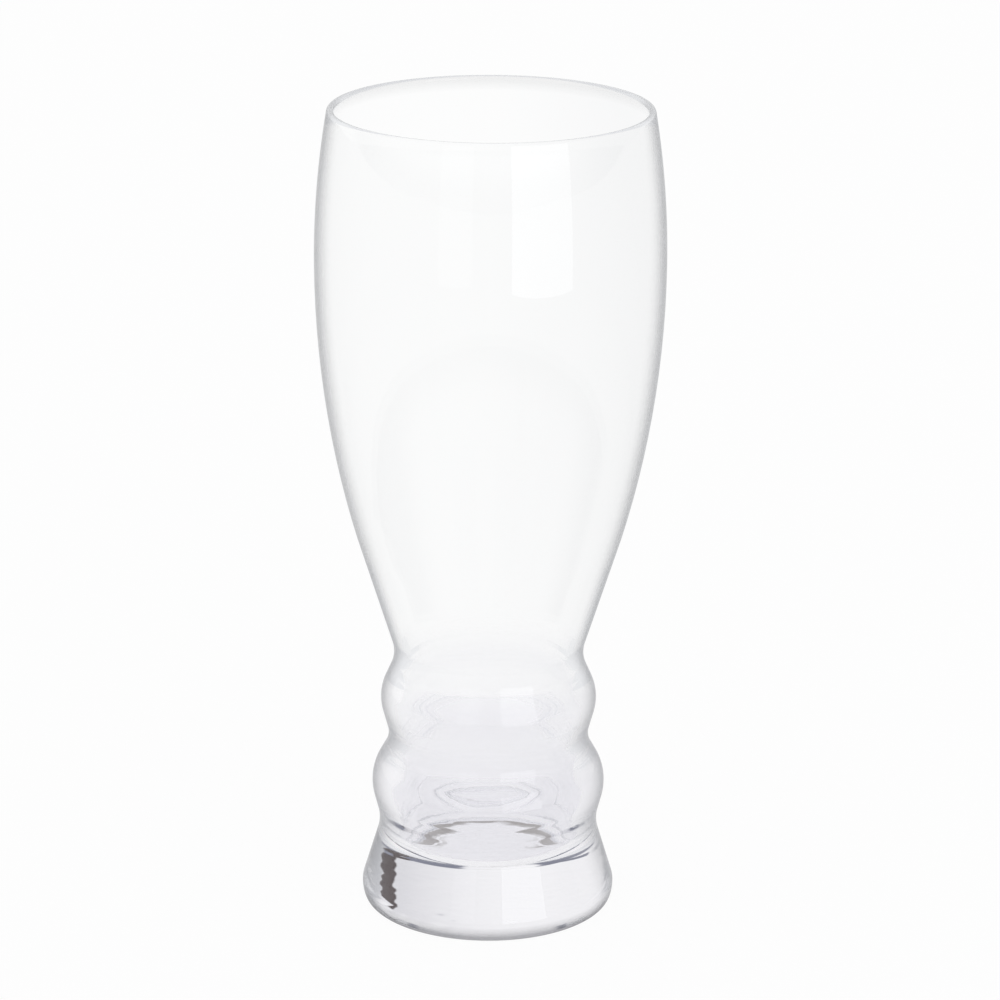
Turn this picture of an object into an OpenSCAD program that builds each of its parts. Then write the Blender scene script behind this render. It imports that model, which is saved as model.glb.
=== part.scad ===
// Ale glass of clear glass: a tall open bowl above two grip rings, hot-welded to a heavy flared foot.
// The glass is turned about Z, stands on the plane z = 0, and all sizes are in millimetres.
// Heights stack from the table up: foot, well, lower waist, lower ring, middle waist, upper ring,
// neck, widest place, rim. Each waist, ring and swell is a bend whose middle stands upright.

/* [Foot] */
// Greatest diameter of the foot
foot_d = 62.5; // [58:0.1:80]
// Height of that diameter above the table
foot_edge_h = 3.8; // [2:0.1:8]
// Bend radius of the foot's side just above it
foot_edge_bend = 4.8; // [2:0.1:20]
// How far the face that the glass stands on lies inside the greatest diameter
heel = 1.4; // [0.5:0.1:4]
// Thickness of the foot, from the table to the weld under the bowl
foot_t = 9; // [6:0.1:14]

/* [Well] */
// Glass between the weld and the floor of the well
bottom_t = 4; // [2:0.1:8]
// Depth of the rounded well, from its floor up to the lowest narrow place inside
well_depth = 7.9; // [3:0.1:12]
// Roundness of the well: 2 is an ellipse, and more is squarer
well_square = 2.9; // [2:0.1:5]
// How much lower the places above the well lie inside than outside
inner_drop = 1.2; // [0:0.1:3]

/* [Lower waist] */
// Outside diameter
lower_waist_d = 53.9; // [46:0.1:60]
// Height above the weld
lower_waist_rise = 11.6; // [8:0.1:20]
// Bend radius outside
lower_waist_bend = 13.5; // [3:0.1:30]
// Bend radius inside
lower_waist_inner_bend = 11; // [3:0.1:30]
// Wall thickness
lower_waist_wall = 5.2; // [2:0.1:10]

/* [Lower ring] */
// Outside diameter
lower_ring_d = 57.4; // [54.5:0.1:70]
// Height above the lower waist
lower_ring_rise = 10; // [7:0.1:20]
// Bend radius outside
lower_ring_bend = 12.5; // [3:0.1:30]
// Bend radius inside
lower_ring_inner_bend = 9; // [3:0.1:30]
// Wall thickness
lower_ring_wall = 5.4; // [2:0.1:10]

/* [Middle waist] */
// Outside diameter
middle_waist_d = 49.3; // [42:0.1:52]
// Height above the lower ring
middle_waist_rise = 12.6; // [8:0.1:25]
// Bend radius
middle_waist_bend = 8.3; // [3:0.1:30]
// Wall thickness
middle_waist_wall = 3.7; // [2:0.1:8]

/* [Upper ring] */
// Outside diameter
upper_ring_d = 53; // [50:0.1:64]
// Height above the middle waist
upper_ring_rise = 9.3; // [6:0.1:20]
// Bend radius
upper_ring_bend = 11.2; // [3:0.1:30]
// Wall thickness
upper_ring_wall = 3.7; // [2:0.1:8]

/* [Neck] */
// Outside diameter
neck_d = 46.5; // [38:0.1:52]
// Height above the upper ring
neck_rise = 11.9; // [8:0.1:25]
// Bend radius
neck_bend = 10.4; // [3:0.1:30]
// Wall thickness
neck_wall = 2.2; // [1.2:0.1:6]

/* [Bowl] */
// Outside diameter of the bowl at its widest
bowl_d = 84; // [70:0.1:100]
// Height of the widest place above the neck
bowl_rise = 98.1; // [60:0.1:140]
// Bend radius of the swell below the widest place
bowl_bend = 241.5; // [60:0.5:400]
// Wall thickness at the widest place
bowl_wall = 1.7; // [1:0.1:4]
// Outside diameter of the rim
rim_d = 77.7; // [60:0.1:83]
// Height of the rim's top above the widest place
rim_rise = 37.5; // [20:0.1:80]
// Wall thickness at the rim, whose edge is fully round
rim_wall = 1.8; // [1:0.1:4]

/* [Hidden] */

// Straight pieces that stand for one arc of the outline, and for one turn
arc_steps = 10;
turn_steps = 180;
// A straight stretch between two bends that is shorter than this is left out
least_straight = 0.01;

// Heights above the table
weld_z = foot_t;
floor_z = weld_z + bottom_t;
ridge_z = floor_z + well_depth;
lower_waist_z = weld_z + lower_waist_rise;
lower_ring_z = lower_waist_z + lower_ring_rise;
middle_waist_z = lower_ring_z + middle_waist_rise;
upper_ring_z = middle_waist_z + upper_ring_rise;
neck_z = upper_ring_z + neck_rise;
widest_z = neck_z + bowl_rise;
rim_z = widest_z + rim_rise;

// The bends of the outside from the foot up, as radius, height and bend radius
outside = [
    [foot_d / 2, foot_edge_h, foot_edge_bend],
    [lower_waist_d / 2, lower_waist_z, lower_waist_bend],
    [lower_ring_d / 2, lower_ring_z, lower_ring_bend],
    [middle_waist_d / 2, middle_waist_z, middle_waist_bend],
    [upper_ring_d / 2, upper_ring_z, upper_ring_bend],
    [neck_d / 2, neck_z, neck_bend],
    [bowl_d / 2, widest_z, bowl_bend]
];

// The bends of the inside from the well's top up, each set in by the wall there
inside = [
    [lower_waist_d / 2 - lower_waist_wall, ridge_z, lower_waist_inner_bend],
    [lower_ring_d / 2 - lower_ring_wall, lower_ring_z - inner_drop, lower_ring_inner_bend],
    [middle_waist_d / 2 - middle_waist_wall, middle_waist_z - inner_drop, middle_waist_bend],
    [upper_ring_d / 2 - upper_ring_wall, upper_ring_z - inner_drop, upper_ring_bend],
    [neck_d / 2 - neck_wall, neck_z - inner_drop, neck_bend],
    [bowl_d / 2 - bowl_wall, widest_z - inner_drop, bowl_bend]
];

// The rim's edge: a half circle that leans in as the wall below it does
lip_r = rim_wall / 2;
lip_centre = [rim_d / 2 - lip_r, rim_z - lip_r];
lip_lean = 2 * atan2(bowl_d / 2 - bowl_wall / 2 - lip_centre[0], lip_centre[1] - widest_z);

// Points from one upright bend up to the next: an arc, a straight stretch, and an arc the other way.
// Both bends tighten alike where there is too little room for them.
function swing(from, to) =
    let (
        rise = to[1] - from[1],
        reach = abs(to[0] - from[0]),
        side = sign(to[0] - from[0]),
        fit = min(1, (rise ^ 2 + reach ^ 2) / (2 * reach * (from[2] + to[2]))),
        low = from[2] * fit,
        high = to[2] * fit,
        straight = sqrt(max(0, rise ^ 2 + reach ^ 2 - 2 * reach * (low + high))),
        turn = 2 * atan2(reach, rise + straight),
        steps = [1 : arc_steps],
        back = [arc_steps - (straight > least_straight ? 0 : 1) : -1 : 0]
    )
    concat(
        [
            for (i = steps)
                let (t = turn * i / arc_steps)
                [from[0] + side * low * (1 - cos(t)), from[1] + low * sin(t)]
        ],
        [
            for (i = back)
                let (t = turn * i / arc_steps)
                [to[0] - side * high * (1 - cos(t)), to[1] - high * sin(t)]
        ]
    );

// Points up a whole row of bends, without the first bend's own point
function chain(bends) = [for (i = [1 : len(bends) - 1]) each swing(bends[i - 1], bends[i])];

// Points of one arc that leaves a bend upright and ends at a given point
function closing(from, end) =
    let (
        lean = 2 * atan2(from[0] - end[0], end[1] - from[1]),
        bend = (end[1] - from[1]) / sin(lean)
    )
    [
        for (i = [1 : arc_steps])
            let (t = lean * i / arc_steps)
            [from[0] - bend * (1 - cos(t)), from[1] + bend * sin(t)]
    ];

// A point of the rim's round edge, at an angle from the horizontal
function lip(angle) = lip_centre + lip_r * [cos(angle), sin(angle)];

// The heel: a quarter ellipse from the face on the table out to the foot's greatest diameter
heel_points = [
    for (i = [0 : arc_steps])
        let (t = 90 * i / arc_steps)
        [foot_d / 2 - heel * (1 - sin(t)), foot_edge_h * (1 - cos(t))]
];

// The well: a rounded bottom from the middle of its floor out to the lowest narrow place
well_points = [
    for (i = [0 : 2 * arc_steps])
        let (t = 45 * i / arc_steps, power = 2 / well_square)
        [inside[0][0] * sin(t) ^ power, ridge_z - well_depth * cos(t) ^ power]
];

outer_points = concat(heel_points, chain(outside), closing(outside[len(outside) - 1], lip(lip_lean)));
inner_points = concat(well_points, chain(inside), closing(inside[len(inside) - 1], lip(lip_lean + 180)));
lip_points = [for (i = [1 : 2 * arc_steps - 1]) lip(lip_lean + 90 * i / arc_steps)];

// Outer radius at the weld, which the foot and the bowl share
weld_r = lookup(weld_z, [for (p = outer_points) [p[1], p[0]]]);

// Solid flared disc under the bowl
module foot() {
    below = [for (p = outer_points) if (p[1] < weld_z) p];
    color([0.90, 0.94, 0.96])
        rotate_extrude($fn = turn_steps)
            polygon(concat([[0, 0]], below, [[weld_r, weld_z], [0, weld_z]]));
}

// Hollow vessel: rounded well, two rings, tall swelling wall and round rim
module bowl() {
    above = [for (p = outer_points) if (p[1] > weld_z) p];
    inner_down = [for (i = [len(inner_points) - 1 : -1 : 0]) inner_points[i]];
    color([0.94, 0.97, 0.98])
        rotate_extrude($fn = turn_steps)
            polygon(concat([[0, weld_z], [weld_r, weld_z]], above, lip_points, inner_down));
}

foot();
bowl();
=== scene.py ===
from math import cos, radians, sin

import bpy
import numpy as np
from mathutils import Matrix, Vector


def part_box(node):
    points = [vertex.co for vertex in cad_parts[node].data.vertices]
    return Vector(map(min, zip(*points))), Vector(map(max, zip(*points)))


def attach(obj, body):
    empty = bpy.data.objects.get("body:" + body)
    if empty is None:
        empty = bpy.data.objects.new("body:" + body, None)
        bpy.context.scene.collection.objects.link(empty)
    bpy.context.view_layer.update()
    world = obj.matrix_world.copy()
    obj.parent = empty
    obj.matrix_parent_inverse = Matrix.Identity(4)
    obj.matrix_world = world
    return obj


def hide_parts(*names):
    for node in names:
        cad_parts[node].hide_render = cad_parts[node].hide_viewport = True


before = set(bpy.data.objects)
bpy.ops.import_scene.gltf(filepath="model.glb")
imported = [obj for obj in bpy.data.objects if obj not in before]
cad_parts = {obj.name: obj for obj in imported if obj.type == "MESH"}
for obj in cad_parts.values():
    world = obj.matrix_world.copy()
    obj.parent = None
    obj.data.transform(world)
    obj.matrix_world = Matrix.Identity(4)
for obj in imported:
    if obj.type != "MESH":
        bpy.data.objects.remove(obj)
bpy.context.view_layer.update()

# Foot
# The foot is a heavy disc of solid clear glass that flares towards the table. It is pressed hot, which
# leaves faint level ripples round its side and waves in its base. Its heel has painted shade, darker towards
# the table.
# The bowl is welded to its top.
MM = 0.001
ARC_STEPS = 14
SIDES = 240
FOOT_RADIUS = 31.25 * MM
FOOT_EDGE_HEIGHT = 3.8 * MM
FOOT_EDGE_BEND = 4.8 * MM
HEEL = 1.4 * MM
# Radius, height and bend radius of the narrow place above the foot
LOWER_WAIST = (26.95 * MM, 20.6 * MM, 13.5 * MM)
WELD_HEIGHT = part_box("foot")[1].z
# The base is wavy in the middle. Two guard rings near its border keep its shading flat up to the heel
WAVY_RADIUS = 21.3 * MM
WAVE_FADE = 1 * MM
INNER_GUARD = 1 * MM
OUTER_GUARD = 0.1 * MM
# Share of the waves that is left on the rest of the base and on the side
BASE_RIPPLES = 0.2
SIDE_RIPPLES = 0.1
# Heights where the painted shade of the heel starts to fade and ends
HEEL_SHADE_HEIGHTS = (1.2 * MM, 3.9 * MM)
GLASS_IOR = 1.51
# Thickness of the glass where the tint starts and where it is full
TINT_DEPTHS = (1.8 * MM, 5.4 * MM)
THIN_GLASS = (0.997, 0.999, 0.998)
THICK_GLASS = (0.915, 0.912, 0.935)
# Painted edge shade starts at these slants of view, 0 face on and 1 along the surface, in thin and in thick
# glass
EDGE_DEPTHS = (2 * MM, 4 * MM)
EDGE_STARTS = (0.56, 0.40)
EDGE_FULL = 0.86
EDGE_PAINTED_SHADE = (0.245, 0.25, 0.26)
# Painted shade on the heel and inside the rim, seen by the camera only
PAINTED_SHADE_GREY = (0.20, 0.20, 0.21)
# Noise per metre round the axis and in the hazy patches, the noise values where a patch starts and is full,
# and the roughness there
ROUND_SCALE = 25.0
PATCH_SCALE = 45.0
PATCH_LIMITS = (0.5, 0.75)
PATCH_ROUGHNESS = 0.012
# Light of paths that are cut short: the reflections and passes that are followed, and the share after passes
BLACK = (0.0, 0.0, 0.0)
TRAPPED_LIGHT = (0.84, 0.85, 0.87)
MOST_REFLECTIONS = 5
MOST_PASSES = 13
PASSED_SHARE = 0.85


def swing(low, high):
    """Outline from one upright bend (radius, height, bend radius) up to the next.

    The first arc turns away from upright, a straight stretch follows, and the second arc turns back. Both
    bends tighten alike where there is too little room. The first bend's own point is left out.
    """
    (r_low, z_low, bend_low), (r_high, z_high, bend_high) = low, high
    rise = z_high - z_low
    reach = abs(r_high - r_low)
    side = np.sign(r_high - r_low)
    fit = min(1.0, (rise**2 + reach**2) / (2 * reach * (bend_low + bend_high)))
    bend_low, bend_high = bend_low * fit, bend_high * fit
    straight = np.sqrt(max(0.0, rise**2 + reach**2 - 2 * reach * (bend_low + bend_high)))
    turn = 2 * np.arctan2(reach, rise + straight) * np.linspace(0, 1, ARC_STEPS + 1)
    aside, along = 1 - np.cos(turn), np.sin(turn)
    up = np.column_stack([r_low + side * bend_low * aside, z_low + bend_low * along])
    back = np.column_stack([r_high - side * bend_high * aside, z_high - bend_high * along])
    return np.vstack([up[1:], back[-2::-1]])


def turned(name, outline, traits, weld_row):
    """Surface of revolution: each outline point (radius, height) becomes a ring of SIDES corners about Z.

    The outline starts and ends on the axis, where fans of triangles close the poles. The row of faces
    weld_row takes the second material, and its border is sharp. traits holds named values for each outline
    point, such as the thickness of the glass there, which are kept on the corners as attributes.
    """
    angle = np.arange(SIDES) * 2 * np.pi / SIDES
    rings = outline[1:-1]
    points = np.empty((len(rings), SIDES, 3))
    points[:, :, 0] = rings[:, :1] * np.cos(angle)
    points[:, :, 1] = rings[:, :1] * np.sin(angle)
    points[:, :, 2] = rings[:, 1:]
    poles = np.array([[0, 0, outline[0, 1]], [0, 0, outline[-1, 1]]])
    corners = np.vstack([points.reshape(-1, 3), poles])
    here = np.arange(SIDES)
    after = (here + 1) % SIDES
    row = np.arange(len(rings) - 1)[:, None] * SIDES
    quads = np.stack([row + here, row + after, row + SIDES + after, row + SIDES + here], axis=-1)
    first_pole = len(rings) * SIDES
    last_ring = first_pole - SIDES
    start_fan = np.column_stack([np.full(SIDES, first_pole), after, here])
    end_fan = np.column_stack([np.full(SIDES, first_pole + 1), last_ring + here, last_ring + after])
    faces = start_fan.tolist() + quads.reshape(-1, 4).tolist() + end_fan.tolist()
    mesh = bpy.data.meshes.new(name)
    mesh.from_pydata(corners, [], faces)
    face_row = np.repeat(np.arange(len(rings) + 1), SIDES)
    mesh.polygons.foreach_set("use_smooth", np.ones(len(face_row), dtype=bool))
    mesh.polygons.foreach_set("material_index", (face_row == weld_row).astype(np.int32))
    weld_ring = max(weld_row - 1, 0)
    on_border = np.zeros(len(corners), dtype=bool)
    on_border[weld_ring * SIDES : (weld_ring + 1) * SIDES] = True
    edges = np.empty(len(mesh.edges) * 2, dtype=np.int32)
    mesh.edges.foreach_get("vertices", edges)
    sharp = on_border[edges.reshape(-1, 2)].all(axis=1)
    mesh.attributes.new("sharp_edge", "BOOLEAN", "EDGE").data.foreach_set("value", sharp)
    for trait, values in traits.items():
        corner_values = np.concatenate([np.repeat(values[1:-1], SIDES), values[[0, -1]]])
        mesh.attributes.new(trait, "FLOAT", "POINT").data.foreach_set("value", corner_values)
    mesh.update()
    piece = bpy.data.objects.new(name, mesh)
    bpy.context.collection.objects.link(piece)
    return piece


def feed(tree, socket, value):
    """Links an input to a socket, or sets it to a number or to a colour."""
    if isinstance(value, bpy.types.NodeSocket):
        tree.links.new(value, socket)
    else:
        socket.default_value = (*value, 1) if isinstance(value, tuple) else value


def maths(tree, operation, *values):
    """Math node on sockets or numbers; returns its value."""
    node = tree.nodes.new("ShaderNodeMath")
    node.operation = operation
    for socket, value in zip(node.inputs, values):
        feed(tree, socket, value)
    return node.outputs["Value"]


def ramp(tree, value, low, high, start=0.0, end=1.0):
    """Map Range node that goes smoothly from start to end as the value goes from low to high."""
    node = tree.nodes.new("ShaderNodeMapRange")
    node.interpolation_type = "SMOOTHSTEP"
    feed(tree, node.inputs["Value"], value)
    feed(tree, node.inputs["From Min"], low)
    feed(tree, node.inputs["From Max"], high)
    feed(tree, node.inputs["To Min"], start)
    feed(tree, node.inputs["To Max"], end)
    return node.outputs["Result"]


def mixed(tree, factor, first, second, blend="MIX", kind="RGBA"):
    """Mix node between two colours, or two values if kind is FLOAT, each plain or a socket."""
    node = tree.nodes.new("ShaderNodeMix")
    node.data_type = kind
    node.blend_type = blend
    feed(tree, node.inputs["Factor"], factor)
    feed(tree, node.inputs["A"], first)
    feed(tree, node.inputs["B"], second)
    return node.outputs["Result"]


def forming_marks():
    """Marks that hot forming leaves in glass, as a height for bump and a haze for roughness.

    The height is noise drawn out into level bands round the axis, plus a slow waviness. The haze is broad
    noise cut to a few soft patches.
    """
    group = bpy.data.node_groups.new("forming_marks", "ShaderNodeTree")
    for label, value in (("Bands per Metre", 700.0), ("Band Share", 0.5), ("Waves per Metre", 60.0)):
        group.interface.new_socket(label, in_out="INPUT", socket_type="NodeSocketFloat").default_value = value
    for label in ("Height", "Haze"):
        group.interface.new_socket(label, in_out="OUTPUT", socket_type="NodeSocketFloat")
    given = group.nodes.new("NodeGroupInput").outputs
    result = group.nodes.new("NodeGroupOutput").inputs
    place = group.nodes.new("ShaderNodeTexCoord").outputs["Object"]

    def noise(where, scale, detail):
        """Noise texture at a place in the group; returns its value."""
        node = group.nodes.new("ShaderNodeTexNoise")
        feed(group, node.inputs["Vector"], where)
        feed(group, node.inputs["Scale"], scale)
        feed(group, node.inputs["Detail"], detail)
        return node.outputs["Fac"]

    stretch = group.nodes.new("ShaderNodeCombineXYZ")
    for axis, scale in (("X", ROUND_SCALE), ("Y", ROUND_SCALE), ("Z", given["Bands per Metre"])):
        feed(group, stretch.inputs[axis], scale)
    drawn_out = group.nodes.new("ShaderNodeVectorMath")
    drawn_out.operation = "MULTIPLY"
    feed(group, drawn_out.inputs[0], place)
    feed(group, drawn_out.inputs[1], stretch.outputs["Vector"])
    bands = noise(drawn_out.outputs["Vector"], scale=1.0, detail=2.0)
    waves = noise(place, scale=given["Waves per Metre"], detail=1.0)
    patches = noise(place, scale=PATCH_SCALE, detail=5.0)
    feed(group, result["Height"], mixed(group, given["Band Share"], waves, bands, kind="FLOAT"))
    feed(group, result["Haze"], ramp(group, patches, *PATCH_LIMITS))
    return group


def trapped_light(tree):
    """Makes a glass glow where the renderer cuts a path short, which would leave it black there.

    The glow is TRAPPED_LIGHT after MOST_REFLECTIONS, and PASSED_SHARE of it after MOST_PASSES of any kind.
    Returns the Light Path node.
    """
    path = tree.nodes.new("ShaderNodeLightPath")
    reflected = ramp(tree, path.outputs["Glossy Depth"], MOST_REFLECTIONS - 1, MOST_REFLECTIONS)
    passed = ramp(tree, path.outputs["Ray Depth"], MOST_PASSES - 1, MOST_PASSES, end=PASSED_SHARE)
    shader = tree.nodes["Principled BSDF"]
    trapped = maths(tree, "MAXIMUM", reflected, passed)
    feed(tree, shader.inputs["Emission Color"], mixed(tree, trapped, BLACK, TRAPPED_LIGHT))
    shader.inputs["Emission Strength"].default_value = 1.0
    return path


def clear_glass(name, marks, band_share, waves, ripple):
    """Clear glass tinted by its thickness, with painted shade on slanting outer faces, the heel and the inner
    rim.

    The tint goes from THIN_GLASS to THICK_GLASS by the attribute glass_depth. EDGE_PAINTED_SHADE multiplies
    it as painted shade at a slanting view, by the attribute outer_face, and PAINTED_SHADE_GREY as painted
    shade on the heel and inside the rim, by the attribute wear, both only where the camera looks at them
    directly. The forming marks are ripple metres high where the attribute ripples is 1.
    """
    material = bpy.data.materials.new(name)
    material.use_nodes = True
    tree = material.node_tree
    shader = tree.nodes["Principled BSDF"]
    shader.inputs["IOR"].default_value = GLASS_IOR
    shader.inputs["Transmission Weight"].default_value = 1.0
    in_front = trapped_light(tree).outputs["Is Camera Ray"]
    traits = {}
    for trait in ("glass_depth", "outer_face", "painted_shade", "ripples"):
        node = tree.nodes.new("ShaderNodeAttribute")
        node.attribute_name = trait
        traits[trait] = node.outputs["Fac"]
    body = mixed(tree, ramp(tree, traits["glass_depth"], *TINT_DEPTHS), THIN_GLASS, THICK_GLASS)
    slant = tree.nodes.new("ShaderNodeLayerWeight").outputs["Facing"]
    edge_start = ramp(tree, traits["glass_depth"], *EDGE_DEPTHS, *EDGE_STARTS)
    edge = maths(tree, "MULTIPLY", ramp(tree, slant, edge_start, EDGE_FULL), traits["outer_face"])
    # Painted shade on the outer edges at slanting views, seen by the camera only, for the darker surround
    tint_with_painted_edges = mixed(tree, maths(tree, "MULTIPLY", edge, in_front), body, EDGE_PAINTED_SHADE, "MULTIPLY")
    # Painted shade on the heel and inside the rim, seen by the camera only
    tint_with_painted_shade = mixed(tree, maths(tree, "MULTIPLY", traits["painted_shade"], in_front), tint_with_painted_edges, PAINTED_SHADE_GREY, "MULTIPLY")
    feed(tree, shader.inputs["Base Color"], tint_with_painted_shade)
    forming = tree.nodes.new("ShaderNodeGroup")
    forming.node_tree = marks
    forming.inputs["Band Share"].default_value = band_share
    forming.inputs["Waves per Metre"].default_value = waves
    bump = tree.nodes.new("ShaderNodeBump")
    bump.inputs["Distance"].default_value = ripple
    feed(tree, bump.inputs["Height"], maths(tree, "MULTIPLY", forming.outputs["Height"], traits["ripples"]))
    feed(tree, shader.inputs["Normal"], bump.outputs["Normal"])
    roughness = maths(tree, "MULTIPLY", forming.outputs["Haze"], PATCH_ROUGHNESS)
    feed(tree, shader.inputs["Roughness"], roughness)
    return material


def weld_face():
    """Fused face between two pieces of the same glass: light passes straight through it."""
    material = bpy.data.materials.new("fused_weld")
    material.use_nodes = True
    shader = material.node_tree.nodes["Principled BSDF"]
    shader.inputs["Base Color"].default_value = (1, 1, 1, 1)
    shader.inputs["Roughness"].default_value = 0.0
    shader.inputs["IOR"].default_value = 1.0
    shader.inputs["Transmission Weight"].default_value = 1.0
    trapped_light(material.node_tree)
    return material


quarter = np.linspace(0, np.pi / 2, ARC_STEPS + 1)
base_radius = FOOT_RADIUS - HEEL
guard_rings = (base_radius - INNER_GUARD, base_radius - OUTER_GUARD)
base_radii = np.array([0, WAVY_RADIUS, WAVY_RADIUS + WAVE_FADE, *guard_rings])
base_ripples = np.where(base_radii > WAVY_RADIUS, BASE_RIPPLES, 1.0)
base = np.column_stack([base_radii, np.zeros(len(base_radii))])
heel = np.column_stack([base_radius + HEEL * np.sin(quarter), FOOT_EDGE_HEIGHT * (1 - np.cos(quarter))])
foot_edge = (FOOT_RADIUS, FOOT_EDGE_HEIGHT, FOOT_EDGE_BEND)
flare = swing(foot_edge, LOWER_WAIST)
weld_radius = np.interp(WELD_HEIGHT, flare[:, 1], flare[:, 0])
foot_side = flare[flare[:, 1] < WELD_HEIGHT]
foot_top = np.array([[weld_radius, WELD_HEIGHT], [0, WELD_HEIGHT]])
foot_outline = np.vstack([base, heel, foot_side, foot_top])
foot_height = foot_outline[:, 1]
above_base = len(foot_outline) - len(base)
foot_traits = {
    "glass_depth": np.full(len(foot_outline), WELD_HEIGHT),
    "outer_face": np.concatenate([np.zeros(len(base)), np.ones(above_base)]),
    # Painted shade on the heel, darker towards the table
    "painted_shade": np.interp(foot_height, HEEL_SHADE_HEIGHTS, (1, 0)) * (foot_height > 0),
    "ripples": np.concatenate([base_ripples, np.full(above_base, SIDE_RIPPLES)]),
}
marks = forming_marks()
foot_glass = clear_glass("foot_clear_glass", marks, band_share=0.2, waves=160, ripple=0.25 * MM)
weld = weld_face()
foot = turned("foot_glass", foot_outline, foot_traits, len(foot_outline) - 2)
foot.data.materials.append(foot_glass)
foot.data.materials.append(weld)
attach(foot, "root")
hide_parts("foot")

# Bowl
# The bowl is the blown vessel: rounded well, two grip rings, neck, tall swelling wall and fire-polished rim.
# It is one body of clear glass, thick at the rings and thin at the rim, and its flat underside is welded to
# the foot.
# Bends of the wall as radius, height and bend radius, outside and then inside
LOWER_RING = (28.7 * MM, 30.6 * MM, 12.5 * MM)
MIDDLE_WAIST = (24.65 * MM, 43.2 * MM, 8.3 * MM)
UPPER_RING = (26.5 * MM, 52.5 * MM, 11.2 * MM)
NECK = (23.25 * MM, 64.4 * MM, 10.4 * MM)
WIDEST = (42.0 * MM, 162.5 * MM, 241.5 * MM)
INNER_LOWER_WAIST = (21.75 * MM, 20.9 * MM, 11.0 * MM)
INNER_LOWER_RING = (23.3 * MM, 29.4 * MM, 9.0 * MM)
INNER_MIDDLE_WAIST = (20.95 * MM, 42.0 * MM, 8.3 * MM)
INNER_UPPER_RING = (22.8 * MM, 51.3 * MM, 11.2 * MM)
INNER_NECK = (21.05 * MM, 63.2 * MM, 10.4 * MM)
INNER_WIDEST = (40.3 * MM, 161.3 * MM, 241.5 * MM)
WELL_DEPTH = 7.9 * MM
WELL_SQUARE = 2.9
RIM_RADIUS = 38.85 * MM
RIM_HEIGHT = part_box("bowl")[1].z
RIM_WALL = 1.8 * MM
# Gap that keeps the two fused faces apart
WELD_LAYER = 0.002 * MM
# The inside of the rim gets painted shade: by how much, and between which angles round the lip and heights
# below it
LIP_SHADE = 0.27
LIP_SHADE_ANGLES = (80, 110)
LIP_SHADE_HEIGHTS = (RIM_HEIGHT - 3.3 * MM, RIM_HEIGHT - 1.4 * MM)
# The inside is wavier in the well and the lower ring than above them
INNER_RIPPLES = (20, 1)
INNER_RIPPLE_HEIGHTS = (35 * MM, 50 * MM)


def climb(bends):
    """Outline up a row of bends, without the first bend's own point."""
    return np.vstack([swing(low, high) for low, high in zip(bends[:-1], bends[1:])])


def closing(low, end):
    """One arc that leaves an upright bend and ends at a point, without the bend's own point."""
    lean = 2 * np.arctan2(low[0] - end[0], end[1] - low[1])
    bend = (end[1] - low[1]) / np.sin(lean)
    angle = lean * np.linspace(0, 1, ARC_STEPS + 1)[1:]
    return np.column_stack([low[0] - bend * (1 - np.cos(angle)), low[1] + bend * np.sin(angle)])


lip_radius = RIM_WALL / 2
lip_centre = np.array([RIM_RADIUS - lip_radius, RIM_HEIGHT - lip_radius])
lip_lean = 2 * np.arctan2((WIDEST[0] + INNER_WIDEST[0]) / 2 - lip_centre[0], lip_centre[1] - WIDEST[1])
lip_angle = lip_lean + np.linspace(0, np.pi, ARC_STEPS + 1)
lip = lip_centre + lip_radius * np.column_stack([np.cos(lip_angle), np.sin(lip_angle)])
underside = np.array([[0, WELD_HEIGHT + WELD_LAYER], [weld_radius, WELD_HEIGHT + WELD_LAYER]])
bowl_flare = flare[flare[:, 1] > WELD_HEIGHT + WELD_LAYER]
outer_bends = [LOWER_WAIST, LOWER_RING, MIDDLE_WAIST, UPPER_RING, NECK, WIDEST]
inner_bends = [
    INNER_LOWER_WAIST, INNER_LOWER_RING, INNER_MIDDLE_WAIST, INNER_UPPER_RING, INNER_NECK, INNER_WIDEST
]
# The well is a rounded bottom, squarer than an ellipse by the power WELL_SQUARE
well_angle = np.linspace(0, np.pi / 2, 2 * ARC_STEPS + 1)
well_r = INNER_LOWER_WAIST[0] * np.sin(well_angle) ** (2 / WELL_SQUARE)
well_z = INNER_LOWER_WAIST[1] - WELL_DEPTH * np.cos(well_angle) ** (2 / WELL_SQUARE)
well = np.column_stack([well_r, well_z])
outer = np.vstack([underside, bowl_flare, climb(outer_bends), closing(WIDEST, lip[0])])
inner = np.vstack([well, climb(inner_bends), closing(INNER_WIDEST, lip[-1])])
bowl_outline = np.vstack([outer, lip[1:-1], inner[::-1]])
outer_radius = np.interp(bowl_outline[:, 1], outer[1:, 1], outer[1:, 0])
inner_radius = np.interp(bowl_outline[:, 1], inner[:, 1], inner[:, 0])
inner_height = inner[::-1, 1]
# Painted shade inside the rim, on the lip and on the wall below it
lip_shade = np.interp(np.degrees(lip_angle[1:-1]), LIP_SHADE_ANGLES, (0, LIP_SHADE))
inner_shade = np.interp(inner_height, LIP_SHADE_HEIGHTS, (0, LIP_SHADE))
inner_ripples = np.interp(inner_height, INNER_RIPPLE_HEIGHTS, INNER_RIPPLES)
outside = np.ones(len(outer) + len(lip) - 2)
bowl_traits = {
    "glass_depth": outer_radius - inner_radius,
    "outer_face": np.concatenate([outside, np.zeros(len(inner))]),
    "painted_shade": np.concatenate([np.zeros(len(outer)), lip_shade, inner_shade]),
    "ripples": np.concatenate([outside, inner_ripples]),
}
bowl = turned("bowl_glass", bowl_outline, bowl_traits, 0)
bowl_glass = clear_glass("bowl_clear_glass", marks, band_share=0.08, waves=100, ripple=0.01 * MM)
bowl.data.materials.append(bowl_glass)
bowl.data.materials.append(weld)
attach(bowl, "root")
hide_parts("bowl")

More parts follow.
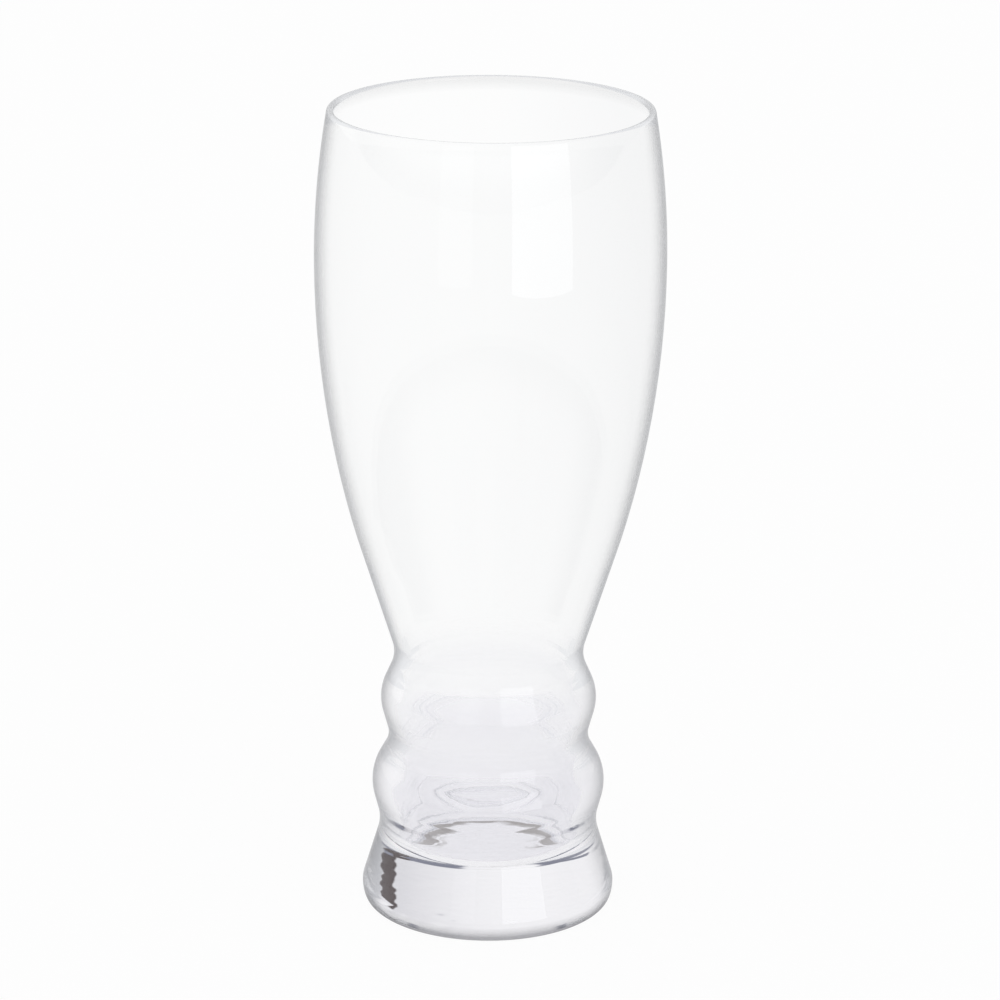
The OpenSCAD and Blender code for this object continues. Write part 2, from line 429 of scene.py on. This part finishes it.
# Studio
# A plain white floor, a soft white surround and two soft boxes in front of the glass, one on each side. The
# surround has dull, dim and dark areas that show only where the glass mirrors or bends them into view. Both
# floor and surround look greyer in the shine of the glass.
FLOOR_HALF = 6.0
FLOOR_GAP = 0.05 * MM
FLOOR_GLOW = 0.95
FLOOR_PAINT = (0.9, 0.9, 0.9)
WHITE = (1.0, 1.0, 1.0)
# Painted shade on the floor as seen through the glass on the right, which comes in between these two places
# along X
RIGHT_FLOOR = (0.94, 0.94, 0.945)
RIGHT_FLOOR_SPAN = (-0.03, 0.12)
SHINE_GREY = (0.65, 0.65, 0.66)
BACKDROP_WHITE = (0.97, 0.97, 0.97)
DULL_WHITE = (0.745, 0.745, 0.765)
SIDE_GREY = (0.55, 0.56, 0.58)
FRONT_WHITE = (0.97, 0.97, 0.98)
FRONT_LOW = (0.72, 0.72, 0.73)
OVERHEAD_WHITE = (0.92, 0.92, 0.93)
HIGH_GREY = (0.36, 0.34, 0.32)
DIM_BLUE = (0.20, 0.21, 0.27)
FLAG_BROWN = (0.06, 0.04, 0.04)
OPEN = 200
# Areas of the surround, each over the ones before it, in degrees: from and to azimuth, from behind the glass
# towards the right; from and to elevation; softness of either; and the colour. OPEN means no border there
SURROUND_AREAS = (
    (17, OPEN, 12, OPEN, 26, 6, DULL_WHITE),
    (52, OPEN, -OPEN, OPEN, 8, 8, SIDE_GREY),
    (-OPEN, -75, -OPEN, OPEN, 8, 8, SIDE_GREY),
    (112, OPEN, -OPEN, OPEN, 20, 8, FRONT_LOW),
    (-OPEN, -100, -OPEN, OPEN, 20, 8, FRONT_LOW),
    (112, OPEN, 2.5, OPEN, 20, 2.5, FRONT_WHITE),
    (-OPEN, -100, 2.5, OPEN, 20, 2.5, FRONT_WHITE),
    (10, 66, 31, 55, 2, 2, DIM_BLUE),
    (-66, -22, 31, 55, 2, 2, DIM_BLUE),
    (40, 54, 17.5, 60, 1, 1, FLAG_BROWN),
    (-OPEN, OPEN, 60, OPEN, 8, 8, OVERHEAD_WHITE),
    (-45, 45, 58, 67.5, 8, 1.5, HIGH_GREY),
)
# Ray depth between a first and a second bounce
FIRST_BOUNCE = 1.5
LAMP_WHITE = (0.95, 0.97, 1.0)
scene = bpy.context.scene
scene.view_settings.view_transform = "Standard"


def ray_kind(tree):
    """Light Path node, and a value that is 1 for rays off the shine of the surface that the camera sees.

    Such a ray is glossy, not transmitted, and on its first bounce.
    """
    path = tree.nodes.new("ShaderNodeLightPath")
    mirrored = maths(tree, "SUBTRACT", path.outputs["Is Glossy Ray"], path.outputs["Is Transmission Ray"])
    first = maths(tree, "LESS_THAN", path.outputs["Ray Depth"], FIRST_BOUNCE)
    return path, maths(tree, "MULTIPLY", mirrored, first)


floor_mesh = bpy.data.meshes.new("floor")
floor_sides = FLOOR_HALF * np.array([[-1, -1], [1, -1], [1, 1], [-1, 1]])
floor_corners = np.column_stack([floor_sides, np.full(len(floor_sides), -FLOOR_GAP)])
floor_mesh.from_pydata(floor_corners, [], [(0, 1, 2, 3)])
floor = bpy.data.objects.new("floor", floor_mesh)
bpy.context.collection.objects.link(floor)
floor_material = bpy.data.materials.new("white_floor")
floor_material.use_nodes = True
tree = floor_material.node_tree
tree.nodes.clear()
output = tree.nodes.new("ShaderNodeOutputMaterial")
paint = tree.nodes.new("ShaderNodeBsdfDiffuse")
feed(tree, paint.inputs["Color"], FLOOR_PAINT)
glow = tree.nodes.new("ShaderNodeEmission")
path, in_shine = ray_kind(tree)
place = tree.nodes.new("ShaderNodeTexCoord")
across = tree.nodes.new("ShaderNodeSeparateXYZ")
feed(tree, across.inputs["Vector"], place.outputs["Object"])
rightward = ramp(tree, across.outputs["X"], *RIGHT_FLOOR_SPAN)
in_glass = mixed(tree, rightward, WHITE, RIGHT_FLOOR)
# Painted shade: the floor is greyer on the right only for rays through the glass
through = mixed(tree, path.outputs["Is Transmission Ray"], WHITE, in_glass)
feed(tree, glow.inputs["Color"], mixed(tree, in_shine, through, SHINE_GREY))
seen = maths(tree, "MAXIMUM", path.outputs["Is Camera Ray"], path.outputs["Is Glossy Ray"])
both = tree.nodes.new("ShaderNodeMixShader")
feed(tree, both.inputs["Fac"], maths(tree, "MULTIPLY", seen, FLOOR_GLOW))
feed(tree, both.inputs[1], paint.outputs["BSDF"])
feed(tree, both.inputs[2], glow.outputs["Emission"])
feed(tree, output.inputs["Surface"], both.outputs["Shader"])
floor_mesh.materials.append(floor_material)

world = bpy.data.worlds.new("studio")
scene.world = world
world.use_nodes = True
tree = world.node_tree
tree.nodes.clear()
output = tree.nodes.new("ShaderNodeOutputWorld")
surround = tree.nodes.new("ShaderNodeBackground")
direction = tree.nodes.new("ShaderNodeTexCoord")
split = tree.nodes.new("ShaderNodeSeparateXYZ")
feed(tree, split.inputs["Vector"], direction.outputs["Generated"])
azimuth = maths(tree, "ARCTAN2", split.outputs["X"], split.outputs["Y"])
elevation = maths(tree, "ARCSINE", split.outputs["Z"])


def between(tree, angle, low, high, soft):
    """Mask that is 1 between two angles, in degrees, and fades over soft on either side of each."""
    rising = ramp(tree, angle, radians(low - soft), radians(low + soft))
    falling = ramp(tree, angle, radians(high + soft), radians(high - soft))
    return maths(tree, "MULTIPLY", rising, falling)


shades = BACKDROP_WHITE
for left, right, bottom, top, side_soft, level_soft, colour in SURROUND_AREAS:
    sideways = between(tree, azimuth, left, right, side_soft)
    upward = between(tree, elevation, bottom, top, level_soft)
    shades = mixed(tree, maths(tree, "MULTIPLY", sideways, upward), shades, colour)
path, in_shine = ray_kind(tree)
in_shine_or_glass = mixed(tree, in_shine, shades, SHINE_GREY, "MULTIPLY")
seen_colour = mixed(tree, path.outputs["Is Camera Ray"], in_shine_or_glass, WHITE)
feed(tree, surround.inputs["Color"], seen_colour)
feed(tree, output.inputs["Surface"], surround.outputs["Background"])


def soft_box(name, bearing, distance, width, height, radiance):
    """Upright soft box that stands on the table, turned to the glass.

    The bearing is from -Y towards +X, in degrees. The lamp's power is radiance times pi times its area.
    """
    lamp = bpy.data.lights.new(name, "AREA")
    lamp.shape = "RECTANGLE"
    lamp.size = width
    lamp.size_y = height
    lamp.energy = radiance * np.pi * width * height
    lamp.color = LAMP_WHITE
    box = bpy.data.objects.new(name, lamp)
    turn = radians(bearing)
    box.location = (distance * sin(turn), -distance * cos(turn), height / 2)
    box.rotation_euler = (radians(90), 0, turn)
    box.visible_camera = False
    box.visible_transmission = False
    bpy.context.collection.objects.link(box)


soft_box("right_soft_box", bearing=33, distance=0.7, width=0.50, height=0.45, radiance=1.0)
soft_box("left_soft_box", bearing=-22, distance=0.8, width=0.30, height=0.45, radiance=0.3)

# Camera
# It stands a little above the rim, looks slightly down on the glass, and has a long lens. Its place, pitch
# and roll give the photograph's view.
IMAGE_WIDTH = 1000
FOCAL_PIXELS = 3863
SENSOR = 36.0
CAMERA_PLACE = (0.00101, -0.8922, 0.3913)
CAMERA_PITCH = 17.90
CAMERA_ROLL = -0.308
lens = bpy.data.cameras.new("camera")
lens.sensor_width = SENSOR
lens.lens = FOCAL_PIXELS / IMAGE_WIDTH * SENSOR
camera = bpy.data.objects.new("camera", lens)
camera.location = CAMERA_PLACE
camera.rotation_euler = (radians(90 - CAMERA_PITCH), radians(CAMERA_ROLL), 0)
bpy.context.collection.objects.link(camera)
scene.camera = camera
